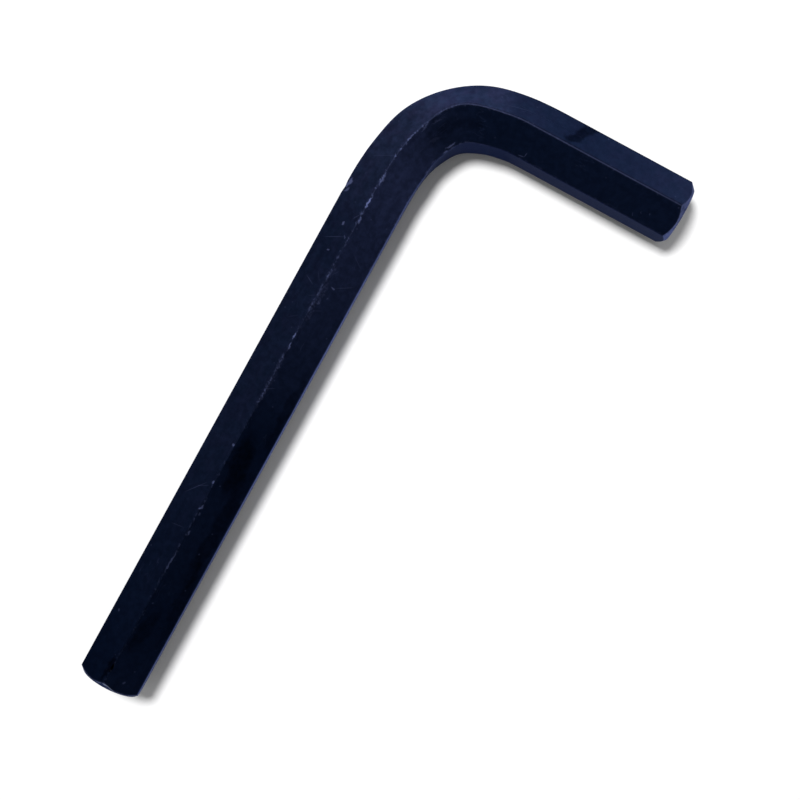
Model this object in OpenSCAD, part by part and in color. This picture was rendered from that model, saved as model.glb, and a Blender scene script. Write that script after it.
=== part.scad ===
// Hex key bent from one hexagonal steel bar.
// The key lies flat: the long arm runs along +X from the bend, the short arm along +Y.
// The bar has an edge at its top and one at its bottom, so one flat faces the inside
// of the bend and the opposite flat faces the outside.
// The origin is under the middle of the key's box, on the surface that it lies on.

/* [Bar] */
// Width of the bar across its flats
across_flats = 10; // [8:0.5:14]
// Radius along the six long edges of the bar
edge_radius = 0.4; // [0.2:0.05:0.8]

/* [Arms] */
// Length of the long arm, from the outer flat of the short arm to its end
long_arm = 116; // [100:1:240]
// Length of the short arm, from the outer flat of the long arm to its end
short_arm = 50; // [45:1:80]

/* [Bend] */
// Radius of the bar's centre line in the bend
bend_radius = 16.5; // [12:0.5:25]

/* [Ends] */
// Angle between the turned chamfer and the axis of the arm
chamfer_angle = 45; // [30:1:60]
// How far the chamfer on the long arm's end reaches in from the flats
long_chamfer = 0.15; // [0.05:0.05:0.8]
// How far the chamfer on the short arm's end reaches in from the flats
short_chamfer = 0.4; // [0.05:0.05:0.8]

/* [Hidden] */

sides = 6;
side_angle = 360 / sides;
half_side = side_angle / 2;
turn = 90;
arc_steps = 96;
// Turn between one step of an edge's rounding and the next, in degrees
edge_step = half_side / 2;

half_flats = across_flats / 2;
// Distance from the bar's axis to the centre of each edge's rounding
edge_centre = (half_flats - edge_radius) / cos(half_side);
// Half of the bar's height over its top and bottom edges
half_corners = edge_centre + edge_radius;

// Lengths of the arms measured along the centre line from where the two lines cross
long_reach = long_arm - half_flats;
short_reach = short_arm - half_flats;
// Radius of the round blank that each chamfer is turned from, clear of the edges
blank_clearance = 1;
blank_radius = half_corners + blank_clearance;

// Point on the rounding of edge k, at an angle from the line between the axis and that edge
function edge_point(k, angle) =
    edge_centre * [cos(half_side + k * side_angle), sin(half_side + k * side_angle)]
    + edge_radius * [cos(half_side + k * side_angle + angle), sin(half_side + k * side_angle + angle)];

// Cross-section of the bar: a hexagon with flats left and right and rounded edges.
// Each rounding turns by one side's angle in short steps and runs into the flats on both sides.
module bar_section() {
    polygon([for (k = [0:sides - 1]) for (angle = [-half_side:edge_step:half_side]) edge_point(k, angle)]);
}

// One arm along +X from the start of the bend, its end chamfered on a cone.
// The cone meets the flats in shallow scallops and cuts deepest at the edges.
module arm(reach, chamfer) {
    length = reach - bend_radius;
    face_radius = half_flats - chamfer;
    chamfer_length = (blank_radius - face_radius) / tan(chamfer_angle);
    translate([bend_radius, 0, 0])
        rotate([90, 0, 90])
            intersection() {
                linear_extrude(height = length)
                    bar_section();
                rotate_extrude($fn = arc_steps)
                    polygon([[0, 0], [blank_radius, 0], [blank_radius, length - chamfer_length],
                        [face_radius, length], [0, length]]);
            }
}

// The quarter turn between the arms, swept about a centre in the plane of the key
module bend() {
    translate([bend_radius, bend_radius, 0])
        rotate([0, 0, 2 * turn])
            rotate_extrude(angle = turn, $fn = arc_steps)
                translate([bend_radius, 0])
                    bar_section();
}

// Swap the directions of the two arms
module swap_arms() {
    mirror([1, -1, 0])
        children();
}

module hex_key() {
    color("#10162b")
        translate([(half_flats - long_reach) / 2, (half_flats - short_reach) / 2, half_corners]) {
            arm(long_reach, long_chamfer);
            bend();
            swap_arms()
                arm(short_reach, short_chamfer);
        }
}

hex_key();
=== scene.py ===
import math

import bpy
import numpy as np
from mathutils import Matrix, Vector


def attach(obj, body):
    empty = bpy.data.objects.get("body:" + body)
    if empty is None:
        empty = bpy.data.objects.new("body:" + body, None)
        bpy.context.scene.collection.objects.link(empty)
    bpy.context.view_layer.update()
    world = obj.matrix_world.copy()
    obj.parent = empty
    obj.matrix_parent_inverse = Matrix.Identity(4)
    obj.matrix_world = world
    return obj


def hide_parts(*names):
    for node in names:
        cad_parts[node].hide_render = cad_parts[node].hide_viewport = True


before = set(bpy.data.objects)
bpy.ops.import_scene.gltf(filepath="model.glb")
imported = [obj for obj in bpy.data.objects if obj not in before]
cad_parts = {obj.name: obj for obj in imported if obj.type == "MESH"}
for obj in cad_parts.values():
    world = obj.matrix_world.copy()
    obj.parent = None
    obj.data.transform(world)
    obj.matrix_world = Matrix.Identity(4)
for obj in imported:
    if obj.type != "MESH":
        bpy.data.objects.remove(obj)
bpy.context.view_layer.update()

MM = 0.001

# The bar, its two arms and its chamfers, in metres, with the sizes that the part is built from.
SIDES = 6
HALF_SIDE = math.pi / SIDES
HALF_FLATS = 10.0 * MM / 2
EDGE_RADIUS = 0.4 * MM
EDGE_CENTRE = (HALF_FLATS - EDGE_RADIUS) / math.cos(HALF_SIDE)
HALF_CORNERS = EDGE_CENTRE + EDGE_RADIUS
BEND_RADIUS = 16.5 * MM
LONG_REACH = 116.0 * MM - HALF_FLATS
SHORT_REACH = 50.0 * MM - HALF_FLATS
CHAMFER_SLOPE = math.tan(math.radians(45))
LONG_FACE_RADIUS = HALF_FLATS - 0.15 * MM
SHORT_FACE_RADIUS = HALF_FLATS - 0.4 * MM

# Along the bar: the run goes from the long arm's end to the short arm's end.
LONG_STRAIGHT = LONG_REACH - BEND_RADIUS
SHORT_STRAIGHT = SHORT_REACH - BEND_RADIUS
BEND_LENGTH = BEND_RADIUS * math.pi / 2
WHOLE_RUN = LONG_STRAIGHT + BEND_LENGTH + SHORT_STRAIGHT
BEND_X = (HALF_FLATS - LONG_REACH) / 2 + BEND_RADIUS
BEND_Y = (HALF_FLATS - SHORT_REACH) / 2 + BEND_RADIUS

# Around the bar: one side is a flat and one rounding, measured along the surface.
ROUNDING_LENGTH = EDGE_RADIUS * 2 * HALF_SIDE
FLAT_LENGTH = 2 * EDGE_CENTRE * math.sin(HALF_SIDE)
SIDE_LENGTH = ROUNDING_LENGTH + FLAT_LENGTH

# Edges in the order in which the cross-section meets them, starting from the one it lies on.
BOTTOM, OUTER_LOW, OUTER_HIGH, TOP, INNER_HIGH, INNER_LOW = range(SIDES)


def bar_profile(rounding_points=7, flat_points=14):
    """Cross-section of the bar, once around from its bottom edge by way of the outside.

    Each edge is a short arc about its own centre, and each flat a straight run to the next
    arc, with its points drawn closer together near the edges. Returned for each point:
    its place and outward normal as (outward, up), its distance around the surface from
    the top edge, and how much it follows each of the six edges.
    """
    arc = np.linspace(-HALF_SIDE, HALF_SIDE, rounding_points)
    along = (1 - np.cos(np.pi * np.linspace(0, 1, flat_points + 2)[1:-1])) / 2
    edge = np.arange(SIDES)
    edge_angle = edge * 2 * HALF_SIDE - np.pi / 2
    normal_angle = np.hstack([edge_angle[:, None] + arc,
                              np.repeat(edge_angle[:, None] + HALF_SIDE, flat_points, axis=1)])
    reach = np.concatenate([np.zeros(rounding_points), along])
    here = np.stack([np.cos(edge_angle), np.sin(edge_angle)], axis=-1)
    there = np.roll(here, -1, axis=0)
    normal = np.stack([np.cos(normal_angle), np.sin(normal_angle)], axis=-1)
    centre = here[:, None] * (1 - reach[None, :, None]) + there[:, None] * reach[None, :, None]
    place = EDGE_CENTRE * centre + EDGE_RADIUS * normal
    girth = np.concatenate([arc * EDGE_RADIUS, ROUNDING_LENGTH / 2 + along * FLAT_LENGTH])
    girth = edge[:, None] * SIDE_LENGTH + girth - TOP * SIDE_LENGTH
    follow = np.zeros((SIDES, reach.size, SIDES))
    follow[edge, :, edge] = 1 - reach
    follow[edge, :, (edge + 1) % SIDES] = reach
    return place.reshape(-1, 2), normal.reshape(-1, 2), girth.ravel(), follow.reshape(-1, SIDES)


# How the bend moves each edge outward: bumps of a height in mm, a middle and a width in degrees.
OUTER_BUMPS = ((-0.42, 10, 13), (-0.27, 81, 12), (-0.08, 45, 25))
TOP_BUMPS = ((-0.20, 6, 12), (1.30, 50, 17))
INNER_HIGH_BUMPS = ((-0.45, 7, 13), (0.75, 50, 15))
INNER_LOW_BUMPS = ((-0.17, 8, 14), (0.38, 47, 12), (-0.15, 80, 10))
# How far the upper edge of the long arm's inner flat lies in, in mm, and where that fades out.
INNER_LEAN = 0.28
LEAN_FADE_START = -25
LEAN_FADE_END = 25


def bumps(angle, table):
    """Sum of bell curves over the bend, each of its own height, middle and width."""
    return sum(height * np.exp(-((angle - middle) / width) ** 2) for height, middle, width in table)


def drawn_edges(run):
    """How far each edge lies outward of its true place, in metres, at each place along the bar.

    A bar bent cold doesn't keep its section: the outside is drawn in where the bend starts
    and ends, and the edges near the neutral line swell out in its middle. The long arm's
    inner flat also leans: its upper edge lies further in, and comes back in the bend.
    """
    angle = np.degrees((run - LONG_STRAIGHT) / BEND_RADIUS)
    lean = np.clip((LEAN_FADE_END - angle) / (LEAN_FADE_END - LEAN_FADE_START), 0, 1)
    edges = [None] * SIDES
    edges[BOTTOM] = edges[TOP] = bumps(angle, TOP_BUMPS)
    edges[OUTER_LOW] = edges[OUTER_HIGH] = bumps(angle, OUTER_BUMPS)
    edges[INNER_HIGH] = bumps(angle, INNER_HIGH_BUMPS) - INNER_LEAN * lean
    edges[INNER_LOW] = bumps(angle, INNER_LOW_BUMPS)
    return np.stack(edges, axis=-1) * MM


def on_the_key(run, outward, up):
    """Point of the key from its place along the bar and its offsets across it.

    The centre line is straight, then a quarter of a circle about the bend's centre, then
    straight again, and the offset outward turns with it.
    """
    turn = np.clip((run - LONG_STRAIGHT) / BEND_RADIUS, 0, np.pi / 2)
    before = np.maximum(LONG_STRAIGHT - run, 0)
    after = np.maximum(run - LONG_STRAIGHT - BEND_LENGTH, 0)
    x = BEND_X - (BEND_RADIUS + outward) * np.sin(turn) + before
    y = BEND_Y - (BEND_RADIUS + outward) * np.cos(turn) + after
    return np.stack([x, y, HALF_CORNERS + up], axis=-1)


# Rows of an end face as shares of its radius, and of its chamfer as shares of the way out.
FACE_ROWS = np.array([0.12, 0.3, 0.5, 0.68, 0.82, 0.92, 0.975, 1.0])
CONE_ROWS = np.array([0.06, 0.25, 0.5, 0.75, 0.94])


def end_rows(radius, face_radius):
    """Rows of one end, from near the middle of its face out to where the flats begin.

    The face is flat out to its radius. The chamfer is a cone from there to the bar's own
    surface, so it goes back by the radius that is left, over its slope. Returned for each
    row and column: the radius, and how far it lies back from the face.
    """
    face = np.repeat(FACE_ROWS[:, None] * face_radius, radius.size, axis=1)
    cone = face_radius + CONE_ROWS[:, None] * (radius - face_radius)
    rows = np.vstack([face, cone])
    return rows, np.maximum(rows - face_radius, 0) / CHAMFER_SLOPE


# Dents and nicks: place along the bar and around it, reach each way, and depth, in mm.
NICKS = (
    (88.6, -5.9, 0.60, 0.60, 0.10),
    (83.1, -2.3, 0.32, 0.24, 0.05),
    (78.1, -2.4, 0.26, 0.24, 0.05),
    (91.9, 0.1, 0.60, 0.25, 0.05),
    (87.7, 0.0, 0.80, 0.25, 0.06),
    (73.0, 1.8, 0.22, 0.36, 0.04),
    (63.2, 0.0, 0.45, 0.22, 0.05),
    (43.6, 0.0, 0.30, 0.22, 0.05),
    (36.8, 0.0, 0.35, 0.22, 0.06),
    (32.5, 0.1, 0.45, 0.25, 0.07),
    (103.2, 0.1, 0.50, 0.25, 0.07),
    (105.6, 0.0, 0.35, 0.22, 0.08),
    (107.9, -0.1, 0.45, 0.25, 0.07),
    (105.9, 5.6, 0.90, 0.30, 0.06),
    (11.5, -4.4, 0.30, 0.28, 0.05),
)

# The rubbed ridge along the top edge, most worn where the key is held, near the bend. The
# least wear, as a share, keeps the ridge just under its true height all along.
RIDGE_SEED = 7
RIDGE_WAVES = 60
RIDGE_WIDTH = 0.3 * MM
RIDGE_DEPTH = 0.012 * MM
HELD_PLACE = 78 * MM
HELD_LENGTH = 30 * MM
LEAST_WEAR = 0.02


def ridge_wander(run):
    """Unevenness along a rubbed edge, mostly within one of nothing.

    It is the sum of many sine waves of mixed lengths and starts, over the root of their number.
    """
    dice = np.random.default_rng(RIDGE_SEED)
    lengths = dice.uniform(0.7, 6.0, RIDGE_WAVES) * MM
    starts = dice.uniform(0, 2 * np.pi, RIDGE_WAVES)
    waves = np.sin(run[..., None] * 2 * np.pi / lengths + starts)
    return waves.sum(axis=-1) / math.sqrt(RIDGE_WAVES)


def wear_depth(run, girth):
    """How far use has pushed the surface in, in metres: round dents and a rubbed ridge.

    A dent is a bell curve around its place. The ridge's wear is a bell curve across the top
    edge, times its unevenness, times one where the key is held and a fifth far from there.
    """
    depth = np.zeros(np.broadcast(run, girth).shape)
    for place, around, length, width, deep in NICKS:
        reach = ((run - place * MM) / (length * MM)) ** 2 + ((girth - around * MM) / (width * MM)) ** 2
        depth += deep * MM * np.exp(-reach)
    ridge = np.exp(-(girth / RIDGE_WIDTH) ** 2)
    held = 0.2 + 0.8 * np.exp(-((run - HELD_PLACE) / HELD_LENGTH) ** 2)
    return depth + RIDGE_DEPTH * ridge * held * np.maximum(1 + ridge_wander(run), LEAST_WEAR)


def surface_mesh(name, points, along, around, girth_length):
    """Closed mesh from rows of points around a bar, with one more point at each end.

    Rows join into quads all the way around, and each end closes in a fan. The UV map called
    wrap holds the distances along and around the bar in mm.
    """
    rows, columns = along.shape
    row = np.arange(rows - 1)[:, None]
    column = np.arange(columns)[None, :]
    beyond = (column + 1) % columns
    quads = np.stack([row * columns + column, row * columns + beyond,
                      (row + 1) * columns + beyond, (row + 1) * columns + column], axis=-1)
    quads = quads.reshape(-1, 4)
    first_pole = rows * columns
    last_pole = first_pole + 1
    ring = np.arange(columns)
    next_ring = (ring + 1) % columns
    last_row = (rows - 1) * columns
    first_fan = np.stack([np.full(columns, first_pole), next_ring, ring], axis=-1)
    last_fan = np.stack([np.full(columns, last_pole), last_row + ring, last_row + next_ring], axis=-1)
    corners = np.concatenate([quads.ravel(), first_fan.ravel(), last_fan.ravel()])
    starts = np.concatenate([np.arange(len(quads)) * 4, len(quads) * 4 + np.arange(2 * columns) * 3])

    along_all = np.concatenate([along.ravel(), [along[0].mean(), along[-1].mean()]])
    around_all = np.concatenate([np.broadcast_to(around, along.shape).ravel(), [0, 0]])
    u = along_all[corners]
    v = around_all[corners]
    wraps = np.zeros((len(quads), 4))
    wraps[:, 1:3] = (quads[:, :1] % columns == columns - 1) * girth_length
    v[:quads.size] += wraps.ravel()

    mesh = bpy.data.meshes.new(name)
    mesh.vertices.add(len(points))
    mesh.vertices.foreach_set("co", points.ravel())
    mesh.loops.add(corners.size)
    mesh.loops.foreach_set("vertex_index", corners.astype(np.int32))
    mesh.polygons.add(starts.size)
    mesh.polygons.foreach_set("loop_start", starts.astype(np.int32))
    mesh.polygons.foreach_set("use_smooth", np.ones(starts.size, dtype=bool))
    wrap = mesh.uv_layers.new(name="wrap")
    wrap.data.foreach_set("uv", np.stack([u, v], axis=-1).ravel() / MM)
    mesh.update(calc_edges=True)
    mesh.validate()
    return mesh


# Spacing of the rows along the sides, the rows close to an end, and how far from it they lean.
ROW_STEP = 0.235 * MM
NEAR_ROWS = np.array([0, 0.03, 0.08, 0.15]) * MM
FIRST_EVEN_ROW = 0.3 * MM
LEAN_LENGTH = 4 * MM
# How bare the steel is, from nothing to one: on the end faces and in their middles, on the
# chamfers, and where the sides begin, where it fades out over a width.
LONG_FACE_BARE = 0.15
SHORT_FACE_BARE = 0.10
MIDDLE_BARE = 0.12
LONG_CONE_BARE = 0.20
SHORT_CONE_BARE = 0.82
LONG_CREASE_BARE = 0.8
SHORT_CREASE_BARE = 0.2
CREASE_WIDTH = 0.10 * MM


def bent_bar():
    """The whole key as one surface: the cross-section carried along the bent centre line.

    Rows run from the middle of the long arm's end face, over its chamfer, along the bar and
    round the bend, and over the other chamfer to the middle of the short arm's end face.
    Near an end the rows lean back to follow the scalloped line where cone and flats meet.
    Two masks go with it: bare says how little oxide is left, and end is one on the faces and
    chamfers and nothing on the sides.
    """
    place, normal, girth, follow = bar_profile()
    radius = np.hypot(place[:, 0], place[:, 1])
    long_radii, long_back = end_rows(radius, LONG_FACE_RADIUS)
    short_radii, short_back = end_rows(radius, SHORT_FACE_RADIUS)
    long_crease = (radius - LONG_FACE_RADIUS) / CHAMFER_SLOPE
    short_crease = (radius - SHORT_FACE_RADIUS) / CHAMFER_SLOPE

    even = np.linspace(FIRST_EVEN_ROW, WHOLE_RUN - FIRST_EVEN_ROW, int(WHOLE_RUN / ROW_STEP))
    level = np.concatenate([NEAR_ROWS, even, WHOLE_RUN - NEAR_ROWS[::-1]])[:, None]
    side_run = (level + long_crease * np.clip(1 - level / LEAN_LENGTH, 0, 1)
                - short_crease * np.clip(1 - (WHOLE_RUN - level) / LEAN_LENGTH, 0, 1))

    run = np.vstack([long_back, side_run, WHOLE_RUN - short_back[::-1]])
    scale = np.vstack([long_radii / radius, np.ones_like(side_run), short_radii[::-1] / radius])
    shift = drawn_edges(run[:, :1])[:, 0] @ follow.T
    first_side = len(long_back)
    after_sides = first_side + len(side_run)
    is_side = np.zeros((len(run), 1))
    is_side[first_side:after_sides] = 1
    worn = wear_depth(run, girth[None, :]) * is_side
    outward = (place[:, 0] + shift) * scale - worn * normal[:, 0]
    up = place[:, 1] * scale - worn * normal[:, 1]
    points = on_the_key(run, outward, up).reshape(-1, 3)
    poles = on_the_key(np.array([0.0, WHOLE_RUN]), np.zeros(2), np.zeros(2))

    along = run.copy()
    along[:first_side] -= np.maximum(LONG_FACE_RADIUS - long_radii, 0)
    along[after_sides:] += np.maximum(SHORT_FACE_RADIUS - short_radii[::-1], 0)
    mesh = surface_mesh("bent_bar", np.vstack([points, poles]), along, girth, SIDES * SIDE_LENGTH)

    from_crease = np.maximum(np.minimum(level, WHOLE_RUN - level), 0)
    most = np.where(level < WHOLE_RUN / 2, LONG_CREASE_BARE, SHORT_CREASE_BARE)
    inside_face = len(FACE_ROWS) - 1
    bare = np.zeros(run.shape)
    bare[:inside_face] = LONG_FACE_BARE
    bare[inside_face:first_side] = LONG_CONE_BARE
    bare[first_side:after_sides] = most * np.exp(-(from_crease / CREASE_WIDTH) ** 2)
    bare[after_sides:-inside_face] = SHORT_CONE_BARE
    bare[-inside_face:] = SHORT_FACE_BARE
    end = np.broadcast_to(1 - is_side, run.shape)
    for name, values, at_poles in (("bare", bare, MIDDLE_BARE), ("end", end, 1.0)):
        mask = mesh.attributes.new(name, "FLOAT", "POINT")
        mask.data.foreach_set("value", np.append(values.ravel(), [at_poles, at_poles]))
    piece = bpy.data.objects.new("bent_bar", mesh)
    bpy.context.collection.objects.link(piece)
    return piece


class Shading:
    """Short ways to place and link the nodes of one material."""

    def __init__(self, name):
        self.material = bpy.data.materials.new(name)
        self.material.use_nodes = True
        self.tree = self.material.node_tree
        self.shader = self.tree.nodes["Principled BSDF"]

    def put(self, socket, value):
        """Link a socket to another, or set it to a plain value."""
        if isinstance(value, bpy.types.NodeSocket):
            self.tree.links.new(value, socket)
        else:
            socket.default_value = value

    def node(self, kind, **values):
        """A node of this kind, with sockets given by name and the rest as its settings."""
        node = self.tree.nodes.new(kind)
        for key, value in values.items():
            name = key.replace("_", " ").title()
            if name in node.inputs:
                self.put(node.inputs[name], value)
            else:
                setattr(node, key, value)
        return node

    def math(self, operation, *values):
        """Arithmetic on up to three values."""
        node = self.tree.nodes.new("ShaderNodeMath")
        node.operation = operation
        for socket, value in zip(node.inputs, values):
            self.put(socket, value)
        return node.outputs[0]

    def noise(self, vector, scale, detail=3.0, roughness=0.5):
        """Cloudy pattern between zero and one."""
        node = self.node("ShaderNodeTexNoise", scale=scale, detail=detail, roughness=roughness)
        self.put(node.inputs["Vector"], vector)
        return node.outputs[0]

    def ramp(self, value, low, high, low_value=0.0, high_value=1.0):
        """Smooth change from one value to another as the input goes from low to high."""
        node = self.tree.nodes.new("ShaderNodeMapRange")
        node.interpolation_type = "SMOOTHSTEP"
        for name, number in (("From Min", low), ("From Max", high),
                             ("To Min", low_value), ("To Max", high_value)):
            node.inputs[name].default_value = number
        self.put(node.inputs["Value"], value)
        return node.outputs[0]

    def scaled(self, value, factor):
        """The value times a plain number."""
        return self.math("MULTIPLY", value, factor)

    def total(self, *values):
        """Sum of any number of values."""
        result = values[0]
        for value in values[1:]:
            result = self.math("ADD", result, value)
        return result

    def vector(self, operation, first, second):
        """Vector arithmetic; a dot product gives its value."""
        node = self.tree.nodes.new("ShaderNodeVectorMath")
        node.operation = operation
        self.put(node.inputs[0], first)
        self.put(node.inputs[1], second)
        return node.outputs["Value" if operation == "DOT_PRODUCT" else "Vector"]

    def axes(self, vector):
        """The first two components of a vector."""
        node = self.tree.nodes.new("ShaderNodeSeparateXYZ")
        self.put(node.inputs[0], vector)
        return node.outputs[0], node.outputs[1]

    def stretched(self, vector, along, around):
        """The same coordinates with each axis scaled, so that a pattern grows into streaks."""
        return self.vector("MULTIPLY", vector, (along, around, 1.0))

    def wander(self, vector, scale, reach):
        """Small random shift of coordinates, so that what is drawn on them gets ragged edges."""
        node = self.node("ShaderNodeTexNoise", scale=scale, detail=3.0)
        self.put(node.inputs["Vector"], vector)
        centred = self.vector("SUBTRACT", node.outputs["Color"], (0.5, 0.5, 0.5))
        return self.vector("MULTIPLY", centred, (2 * reach, 2 * reach, 0.0))

    def marks(self, wrap, table):
        """Long or round spots, each full within its middle and gone at its rim, added up.

        The reach is the distance from a spot's middle along its slant over its half length,
        squared, and the same across its slant over its half width, added together.
        """
        masks = []
        for run, girth, length, width, slant, strength in table:
            turn = math.radians(slant)
            off = self.vector("SUBTRACT", wrap, (run, girth, 0.0))
            lengthwise = (math.cos(turn) / length, math.sin(turn) / length, 0.0)
            crosswise = (-math.sin(turn) / width, math.cos(turn) / width, 0.0)
            a = self.vector("DOT_PRODUCT", off, lengthwise)
            b = self.vector("DOT_PRODUCT", off, crosswise)
            reach = self.math("ADD", self.math("MULTIPLY", a, a), self.math("MULTIPLY", b, b))
            masks.append(self.ramp(reach, 1.0, 0.2, 0.0, strength))
        return self.total(*masks)

    def curve(self, value, stops):
        """Value read off a smooth line through the given (position, height) stops."""
        node = self.tree.nodes.new("ShaderNodeValToRGB")
        node.color_ramp.interpolation = "EASE"
        points = node.color_ramp.elements
        while len(points) < len(stops):
            points.new(0.5)
        for point, (position, height) in zip(points, stops):
            point.position = position
            point.color = (height, height, height, 1)
        self.put(node.inputs[0], value)
        return node.outputs[0]

    def shaded(self, colour, factor):
        """The colour made darker or lighter by a factor that changes over the surface."""
        node = self.tree.nodes.new("ShaderNodeVectorMath")
        node.operation = "SCALE"
        self.put(node.inputs[0], colour)
        self.put(node.inputs["Scale"], factor)
        return node.outputs[0]

    def mix(self, factor, low, high):
        """Mix of two values, the second where the factor is one."""
        node = self.tree.nodes.new("ShaderNodeMix")
        self.put(node.inputs[0], factor)
        self.put(node.inputs[2], low)
        self.put(node.inputs[3], high)
        return node.outputs[0]

    def blend(self, factor, low, high):
        """Mix of two colours, the second where the factor is one."""
        node = self.tree.nodes.new("ShaderNodeMix")
        node.data_type = "RGBA"
        self.put(node.inputs[0], factor)
        self.put(node.inputs[6], low)
        self.put(node.inputs[7], high)
        return node.outputs[2]


# How pale the oxide is along the bar, from its long end (0) to its short end (1): partly its own tone
# and partly painted sheen, brightest round the bend.
OUTER_TONE_AND_SHEEN = ((0.00, 0.02), (0.15, 0.08), (0.31, 0.17), (0.55, 0.19), (0.61, 0.36), (0.67, 0.56),
              (0.72, 0.94), (0.76, 0.66), (0.80, 0.20), (0.86, 0.13), (0.93, 0.18), (1.00, 0.26))
INNER_TONE_AND_SHEEN = ((0.00, 0.05), (0.08, 0.00), (0.20, 0.04), (0.31, 0.00), (0.38, 0.13), (0.46, 0.24),
              (0.54, 0.36), (0.62, 0.58), (0.67, 0.42), (0.71, 0.15), (0.76, 0.04), (1.00, 0.06))
# The long arm's inner flat gets a lilac painted reflection, strongest in its middle.
INSIDE_REFLECTION = ((0.00, 0.70), (0.15, 0.65), (0.30, 0.95), (0.47, 1.00), (0.57, 0.65), (0.70, 0.00))
# Past the bend the painted reflection on the inner flat is greyer.
CROOK_REFLECTION = ((0.00, 0.00), (0.64, 0.00), (0.73, 0.30), (0.80, 0.14), (1.00, 0.22))
# How far the edges are rubbed in flecks, and the ridge in a plain line, over the same length.
RIDGE_TONE = ((0.00, 0.10), (0.12, 0.14), (0.22, 0.22), (0.30, 0.10), (0.46, 0.18), (0.55, 0.42),
              (0.61, 0.80), (0.67, 0.95), (0.71, 0.45), (0.85, 0.15), (1.00, 0.10))
LINE_TONE = ((0.00, 0.00), (0.50, 0.02), (0.60, 0.18), (0.70, 0.35), (0.76, 0.72), (0.95, 0.82),
             (1.00, 0.50))

# Marks on the oxide, in mm: place along the bar and around it from the top edge, half
# length, half width, slant in degrees from the bar's own direction, and strength.
BRIGHT_MARKS = (
    (89.4, -5.2, 1.10, 0.45, 14, 1.00),
    (88.2, -5.0, 0.60, 0.30, 50, 0.70),
    (83.1, -2.3, 0.40, 0.24, 10, 0.75),
    (78.1, -2.4, 0.30, 0.20, 40, 0.60),
    (81.1, -0.8, 0.30, 0.16, 0, 0.45),
    (73.0, 1.8, 0.22, 0.45, 0, 0.65),
    (71.2, 1.7, 0.26, 0.20, 0, 0.30),
    (69.8, 0.8, 0.30, 0.22, 0, 0.35),
    (91.9, 0.2, 1.40, 0.22, 2, 0.60),
    (87.7, 0.1, 1.30, 0.22, 2, 0.75),
    (84.5, 0.2, 0.70, 0.26, -14, 0.60),
    (63.4, 0.0, 0.85, 0.17, -3, 0.50),
    (61.6, 0.1, 0.80, 0.15, 0, 0.36),
    (43.6, -0.3, 0.32, 0.22, 0, 0.45),
    (36.8, -0.2, 0.34, 0.22, 10, 0.45),
    (32.5, 0.1, 0.55, 0.28, 30, 0.34),
    (31.4, 0.3, 0.25, 0.20, 0, 0.25),
    (27.9, 0.3, 0.55, 0.24, 0, 0.35),
    (22.7, 0.0, 2.20, 0.20, 1, 0.16),
    (11.5, -4.4, 0.24, 0.22, 0, 0.30),
    (2.1, 2.7, 0.26, 0.20, 20, 0.25),
    (102.7, 0.4, 0.90, 0.20, -8, 0.30),
    (105.0, 0.9, 1.30, 0.16, 14, 0.12),
    (103.4, 2.9, 1.60, 0.35, 12, 0.08),
    (105.9, 5.2, 1.50, 0.20, 0, 0.80),
    (104.3, 5.6, 0.60, 0.24, 10, 0.60),
    (142.8, 4.2, 0.26, 0.10, 60, 0.22),
    (141.8, 5.0, 0.24, 0.10, 50, 0.22),
    (144.1, 3.7, 0.30, 0.10, 70, 0.22),
)
# Trails of fine grit along the ridge, where the marks break up into specks.
GRIT_MARKS = (
    (74.9, 0.2, 1.80, 0.50, 10, 0.20),
    (71.3, 0.4, 2.80, 0.75, 3, 0.20),
    (67.9, 0.3, 1.90, 0.55, -8, 0.14),
    (58.6, -0.1, 2.00, 0.45, -6, 0.19),
    (54.5, 0.1, 2.80, 0.50, 2, 0.14),
    (52.3, 0.0, 1.60, 0.35, 8, 0.17),
)
SCRATCHES = (
    (95.6, -1.8, 2.90, 0.060, 71, 0.35),
    (84.7, -0.7, 0.80, 0.080, 39, 0.55),
    (80.4, -2.6, 2.30, 0.070, 70, 0.55),
    (78.6, 3.2, 1.45, 0.070, -57, 0.35),
    (74.0, 3.4, 1.90, 0.065, 58, 0.50),
    (72.5, -2.8, 1.30, 0.075, -65, 0.50),
    (73.6, -1.5, 1.10, 0.060, -40, 0.35),
    (70.4, -0.9, 0.90, 0.060, 66, 0.35),
    (68.6, 1.2, 1.00, 0.060, 61, 0.35),
    (75.3, 0.9, 0.90, 0.060, 35, 0.35),
    (66.1, -2.2, 1.30, 0.060, 61, 0.25),
    (54.2, 0.6, 1.10, 0.060, 61, 0.40),
    (34.8, -2.7, 2.70, 0.075, 43, 0.50),
    (35.6, -1.6, 1.40, 0.060, 62, 0.40),
    (28.1, -2.3, 1.60, 0.065, 80, 0.35),
    (121.6, 5.3, 0.65, 0.090, -10, 0.80),
    (122.2, 4.8, 0.50, 0.090, -83, 0.70),
    (118.0, -2.2, 2.40, 0.070, -10, 0.35),
)
DARK_MARKS = (
    (128.4, -3.3, 4.20, 1.25, -60, 1.0),
    (127.6, -1.3, 2.00, 0.80, -15, 0.6),
    (3.1, -0.75, 2.80, 0.62, 4, 1.2),
    (41.0, 2.3, 6.50, 2.00, -6, 1.0),
    (30.0, 4.3, 13.0, 1.40, 2, 0.7),
    (52.0, 4.9, 9.0, 0.90, 0, 0.6),
    (11.0, 1.7, 5.50, 1.50, 6, 0.6),
    (17.0, 4.7, 9.0, 1.00, -2, 0.5),
    (107.0, 2.6, 8.0, 1.30, 0, 0.4),
)
# Where the long arm's chamfer is down to bright metal, at its top corner.
POLISHED_MARKS = (
    (0.66, 0.30, 0.70, 0.13, 94, 1.0),
    (0.40, 1.30, 0.95, 0.09, 110, 0.8),
    (0.44, -1.0, 0.70, 0.06, 72, 0.5),
)
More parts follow.
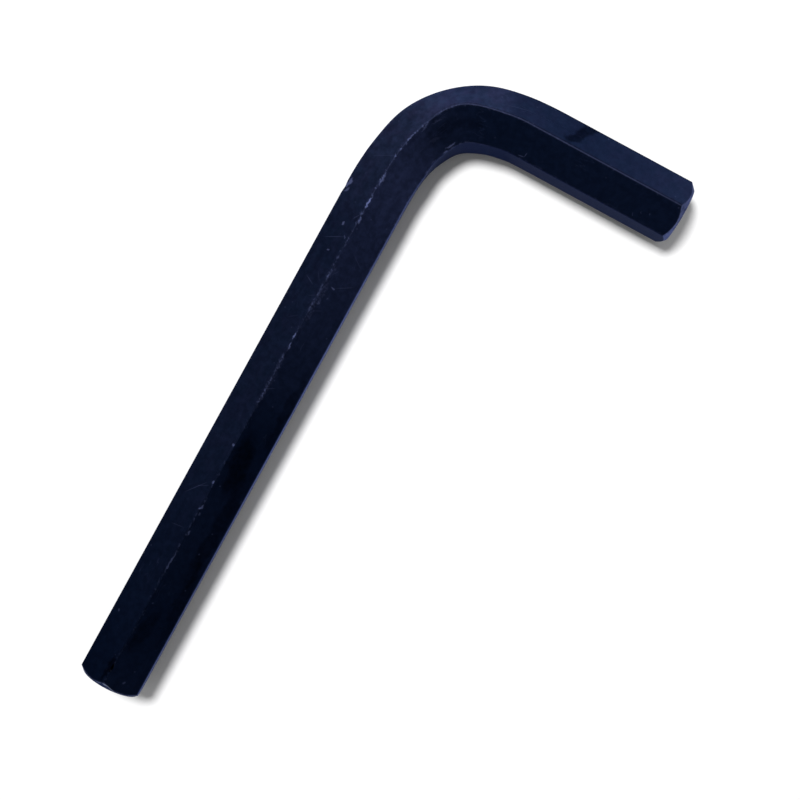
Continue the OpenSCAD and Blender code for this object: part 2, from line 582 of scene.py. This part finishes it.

# Colours of the oxide and of the steel under it, as they reflect straight on. The lilac and grey ones
# are painted reflections on the inner flat.
DEEP_OXIDE = (0.0030, 0.0071, 0.0222, 1)
BLUE_OXIDE = (0.036, 0.051, 0.120, 1)
VIOLET_OXIDE = (0.040, 0.048, 0.118, 1)
INWARD_OXIDE = (0.035, 0.047, 0.123, 1)
LILAC_REFLECTION = (0.088, 0.115, 0.285, 1)
GREY_REFLECTION = (0.054, 0.052, 0.088, 1)
RUBBED_STEEL = (0.108, 0.130, 0.275, 1)
POLISHED_STEEL = (0.26, 0.30, 0.42, 1)
# Colours that show at a glancing angle: of the metal, and of the fine dust on it.
GLANCING_STEEL = (0.40, 0.42, 0.49, 1)
PALE_DUST = (0.72, 0.76, 1.0, 1)


def blackened_steel():
    """Blackened steel: deep blue-black oxide with a cloudy tone, rubbed pale along the edges.

    The oxide is painted paler round the bend, partly as its own tone and partly as painted sheen where
    the lamps catch it; the long arm's inner flat carries a lilac painted reflection, and the top edge
    a darker line of painted shade.
    Small dents, fine scratches, specks and a few dark smears lie where the real key has them.
    """
    s = Shading("blackened_steel")
    side = SIDE_LENGTH / MM

    # Places: along the bar, around it from the top edge, and the same with ragged shifts.
    place = s.node("ShaderNodeTexCoord").outputs["Object"]
    wrap = s.node("ShaderNodeUVMap", uv_map="wrap").outputs["UV"]
    around = s.axes(wrap)[1]
    from_top = s.math("ABSOLUTE", around)
    ragged = s.vector("ADD", wrap, s.wander(place, scale=1400.0, reach=0.5))
    loose = s.vector("ADD", ragged, s.wander(place, scale=300.0, reach=1.2))
    run, girth = s.axes(ragged)
    along = s.math("DIVIDE", run, WHOLE_RUN / MM)
    end = s.node("ShaderNodeAttribute", attribute_name="end").outputs["Fac"]
    sides = s.math("SUBTRACT", 1.0, end)

    # Tone of the oxide: how pale it is on each face along the bar, partly its own tone and partly
    # painted sheen round the bend, made cloudy and streaky.
    cloud = s.noise(place, scale=190.0, detail=4.0, roughness=0.6)
    mottle = s.noise(place, scale=950.0, detail=5.0, roughness=0.68)
    streaks = s.noise(s.stretched(wrap, 0.10, 1.0), scale=1.3, detail=3.0, roughness=0.55)
    speckle = s.ramp(mottle, 0.32, 0.68)
    uneven = s.total(s.scaled(cloud, 0.4), s.scaled(streaks, 0.3), s.scaled(speckle, 0.22), 0.53)
    inward = s.ramp(around, -0.15, 0.15)
    pale = s.mix(inward, s.curve(along, OUTER_TONE_AND_SHEEN), s.curve(along, INNER_TONE_AND_SHEEN))
    pale = s.mix(end, pale, 0.28)
    pale = s.math("MULTIPLY", pale, uneven)

    # Hue of the oxide, with a lilac painted reflection on the long arm's inner flat and a greyer
    # painted reflection past it.
    violet = s.ramp(s.noise(place, scale=420.0, detail=3.0, roughness=0.6), 0.40, 0.62)
    tint = s.blend(violet, BLUE_OXIDE, VIOLET_OXIDE)
    tint = s.blend(inward, tint, INWARD_OXIDE)
    oxide = s.blend(pale, DEEP_OXIDE, tint)
    inside = s.math("MULTIPLY", s.ramp(around, side - 0.2, side + 0.2),
                    s.ramp(around, 2 * side, 2 * side - 0.4))
    inside = s.math("MULTIPLY", inside, sides)
    oxide = s.blend(s.math("MULTIPLY", inside, s.curve(along, INSIDE_REFLECTION)), oxide, LILAC_REFLECTION)
    oxide = s.blend(s.math("MULTIPLY", inside, s.curve(along, CROOK_REFLECTION)), oxide, GREY_REFLECTION)

    # Shade: dark smears, a darker line along the top edge that is painted shade dimming the lamp's
    # highlight on the ridge, and saw lines across the end faces.
    smears = s.math("MINIMUM", s.marks(loose, DARK_MARKS), 1.0)
    top = s.math("MULTIPLY", s.ramp(from_top, 0.34, 0.12), sides)
    cuts = s.noise(s.vector("MULTIPLY", place, (1.0, 1.0, 0.04)), scale=5200.0, detail=2.0)
    cuts = s.math("MULTIPLY", cuts, end)
    shade = s.total(s.scaled(smears, -0.6), s.scaled(speckle, 0.24), s.scaled(top, -0.55),
                    s.scaled(cuts, 0.35), 0.90)
    oxide = s.shaded(oxide, shade)

    # Wear: rubbed edges, a line on the ridge, specks, hairlines, marks, scratches and grit.
    from_edge = s.math("ABSOLUTE", s.math("WRAP", girth, side / 2, -side / 2))
    edge = s.math("MULTIPLY", s.ramp(from_edge, 0.34, 0.12), sides)
    flecks = s.ramp(s.noise(place, scale=1500.0, detail=4.0, roughness=0.7), 0.50, 0.64)
    rubbed = s.math("MULTIPLY", s.math("MULTIPLY", edge, flecks), s.curve(along, RIDGE_TONE))
    line = s.math("MULTIPLY", s.ramp(from_top, 0.22, 0.02), s.curve(along, LINE_TONE))
    line = s.math("MULTIPLY", line, sides)
    spots = s.node("ShaderNodeTexVoronoi", scale=800.0)
    s.put(spots.inputs["Vector"], place)
    chosen = s.ramp(s.axes(spots.outputs["Color"])[0], 0.84, 0.92)
    specks = s.math("MULTIPLY", s.ramp(spots.outputs["Distance"], 0.17, 0.06), chosen)
    hairs = s.noise(s.stretched(wrap, 0.16, 1.1), scale=1.0, detail=1.0, roughness=0.4)
    hairs = s.ramp(s.math("ABSOLUTE", s.math("SUBTRACT", hairs, 0.5)), 0.006, 0.001)
    hairs = s.math("MULTIPLY", hairs, s.ramp(s.noise(place, scale=260.0, detail=2.0), 0.52, 0.66))
    grit = s.ramp(s.noise(place, scale=3000.0, detail=2.0, roughness=0.6), 0.42, 0.62, 0.15, 1.0)
    grit = s.math("MULTIPLY", s.marks(ragged, GRIT_MARKS), grit)
    scratches = s.scaled(s.marks(wrap, SCRATCHES), 0.45)
    bare = s.node("ShaderNodeAttribute", attribute_name="bare").outputs["Fac"]
    bare = s.math("MULTIPLY", bare, s.ramp(mottle, 0.30, 0.60, 0.35, 1.0))
    worn = s.total(s.scaled(rubbed, 0.55), s.scaled(line, 0.26), s.scaled(specks, 0.16),
                   s.scaled(hairs, 0.10), s.marks(ragged, BRIGHT_MARKS), scratches, grit, bare)
    colour = s.blend(s.math("MINIMUM", worn, 1.0), oxide, RUBBED_STEEL)
    colour = s.blend(s.marks(wrap, POLISHED_MARKS), colour, POLISHED_STEEL)

    # Gloss and relief: satin, rougher along the top edge, with a fine grain.
    rough = s.total(s.scaled(mottle, 0.14), s.scaled(top, 0.26), 0.37)
    grain = s.noise(place, scale=5200.0, detail=2.0, roughness=0.6)
    bump = s.node("ShaderNodeBump", strength=0.35, distance=0.00003)
    s.put(bump.inputs["Height"], s.total(s.scaled(grain, 0.6), mottle, s.scaled(hairs, -0.5), cuts))

    s.put(s.shader.inputs["Base Color"], colour)
    s.put(s.shader.inputs["Roughness"], rough)
    s.put(s.shader.inputs["Normal"], bump.outputs[0])
    s.shader.inputs["Metallic"].default_value = 1.0
    s.shader.inputs["Specular Tint"].default_value = GLANCING_STEEL
    s.shader.inputs["Sheen Weight"].default_value = 0.10
    s.shader.inputs["Sheen Roughness"].default_value = 0.18
    s.shader.inputs["Sheen Tint"].default_value = PALE_DUST
    return s.material


def pale_floor():
    """Matt white sheet."""
    s = Shading("pale_floor")
    s.shader.inputs["Base Color"].default_value = (0.92, 0.92, 0.92, 1)
    s.shader.inputs["Roughness"].default_value = 0.95
    s.shader.inputs["Specular IOR Level"].default_value = 0.1
    return s.material


def soft_light(name, place, width, height, power):
    """Flat lamp of this size, in metres, that faces the middle of the key."""
    lamp = bpy.data.lights.new(name, "AREA")
    lamp.shape = "ELLIPSE"
    lamp.size = width
    lamp.size_y = height
    lamp.energy = power
    holder = bpy.data.objects.new(name, lamp)
    holder.location = place
    holder.rotation_euler = (-Vector(place)).to_track_quat("-Z", "Y").to_euler()
    bpy.context.collection.objects.link(holder)


def floor_sheet(half_width=2.0):
    """Square sheet that the key lies on."""
    corners = half_width * np.array([(-1, -1, 0), (1, -1, 0), (1, 1, 0), (-1, 1, 0)])
    mesh = bpy.data.meshes.new("floor")
    mesh.from_pydata(corners.tolist(), [], [(0, 1, 2, 3)])
    floor = bpy.data.objects.new("floor", mesh)
    bpy.context.collection.objects.link(floor)
    floor.data.materials.append(pale_floor())


# The camera's place in metres, its turn in degrees, and its focal length and sensor in mm.
CAMERA_PLACE = (-0.0016516, 0.0025362, 0.1952703)
CAMERA_TURN = (1.2307, 0.4019, 118.6835)
CAMERA_LENS = 52.2828
CAMERA_SENSOR = 36.0


def studio():
    """Camera nearly straight above the key, one soft lamp high up, a dim one low, and the room."""
    scene = bpy.context.scene
    scene.view_settings.view_transform = "Standard"
    camera = bpy.data.objects.new("camera", bpy.data.cameras.new("camera"))
    camera.location = CAMERA_PLACE
    camera.rotation_euler = [math.radians(angle) for angle in CAMERA_TURN]
    camera.data.lens = CAMERA_LENS
    camera.data.sensor_width = CAMERA_SENSOR
    camera.data.clip_start = 0.01
    bpy.context.collection.objects.link(camera)
    scene.camera = camera

    world = bpy.data.worlds.new("room")
    world.use_nodes = True
    background = world.node_tree.nodes["Background"]
    background.inputs["Color"].default_value = (1, 1, 1, 1)
    background.inputs["Strength"].default_value = 0.28
    scene.world = world
    soft_light("high_lamp", (-0.083, -0.155, 0.573), width=0.137, height=0.137, power=3.5)
    soft_light("side_lamp", (-0.42, 0.02, 0.12), width=0.30, height=0.16, power=0.24)


key = bent_bar()
key.data.materials.append(blackened_steel())
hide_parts("hex_key")
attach(key, "root")
floor_sheet()
studio()
